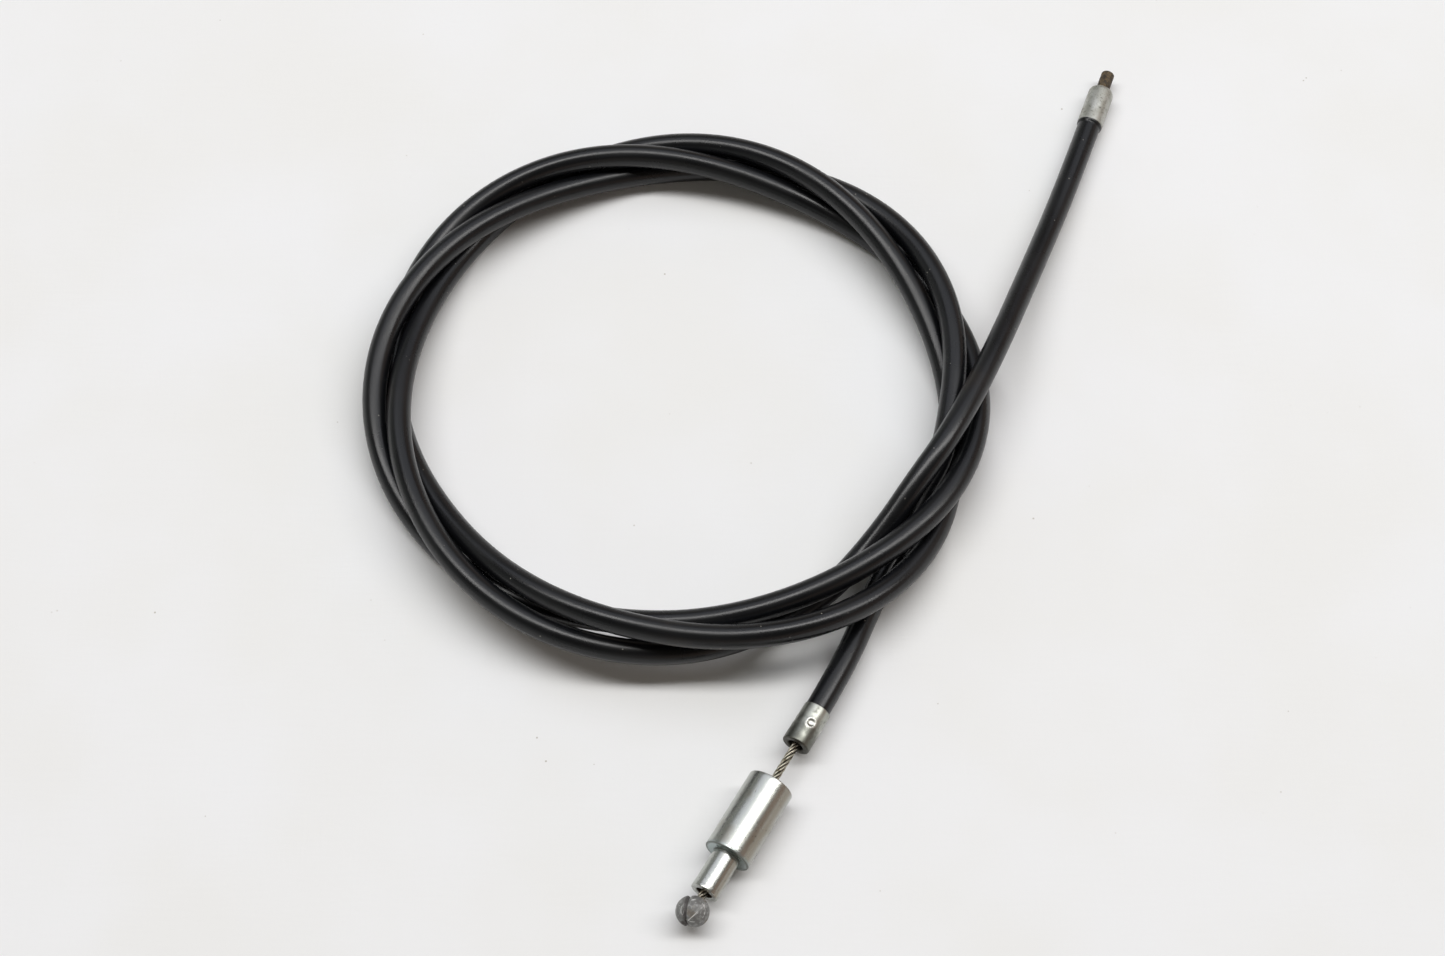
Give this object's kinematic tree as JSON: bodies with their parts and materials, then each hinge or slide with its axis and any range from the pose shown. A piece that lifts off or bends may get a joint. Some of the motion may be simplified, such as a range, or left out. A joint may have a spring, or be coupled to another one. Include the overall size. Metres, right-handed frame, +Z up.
{
  "type": "pull cable",
  "caption": "Long pull cable in a black jacket, coiled in loose plaited loops, with crimped ferrules, a sliding stepped bush and a ball nipple at one end and a barrel nipple at the other.",
  "frame": {"origin": "on the table under the middle of the box round the metal fittings and the bare wire", "axes": "+Z up from the table, +Y away from the viewer of the picture, towards the barrel nipple's end, +X to the viewer's right"},
  "size_m": [0.1749, 0.2181, 0.0173],
  "materials": {
    "jacket": "extruded black PVC, satin",
    "conduit": "wound flat steel wire",
    "liner": "extruded nylon",
    "inner_wire": "stranded steel, dull",
    "lower_ferrule": "zinc plated, worn",
    "bush": "turned, bright zinc plated",
    "ball": "cast, mottled and scratched",
    "upper_ferrule": "zinc plated, speckled",
    "barrel": "rusted"
  },
  "bodies": {
    "casing": {"casing_lower_tail": "jacket", "casing_coil": "jacket", "casing_upper_tail": "jacket", "lower_ferrule": "lower_ferrule", "upper_ferrule": "upper_ferrule", "lower_conduit": "conduit", "upper_conduit": "conduit", "lower_liner": "liner", "upper_liner": "liner"},
    "lower_wire": {"lower_wire": "inner_wire", "ball_nipple": "ball"},
    "stop_bush": {"stop_bush": "bush"},
    "upper_wire": {"upper_wire": "inner_wire", "barrel_nipple": "barrel"}
  },
  "joints": [
    {"name": "ball_end_slide", "type": "slide", "parent": "casing", "child": "lower_wire", "axis": [0.503, 0.8643, 0], "range_m": [0, 0.012]},
    {"name": "barrel_end_slide", "type": "slide", "parent": "casing", "child": "upper_wire", "axis": [0.3404, 0.9403, 0], "range_m": [0, 0.012]},
    {"name": "bush_slide", "type": "slide", "parent": "lower_wire", "child": "stop_bush", "axis": [0.503, 0.8643, 0], "range_m": [-0.001, 0.009]}
  ],
  "couplings": [
    {"joint": "barrel_end_slide", "follows": "ball_end_slide", "ratio": 1}
  ]
}
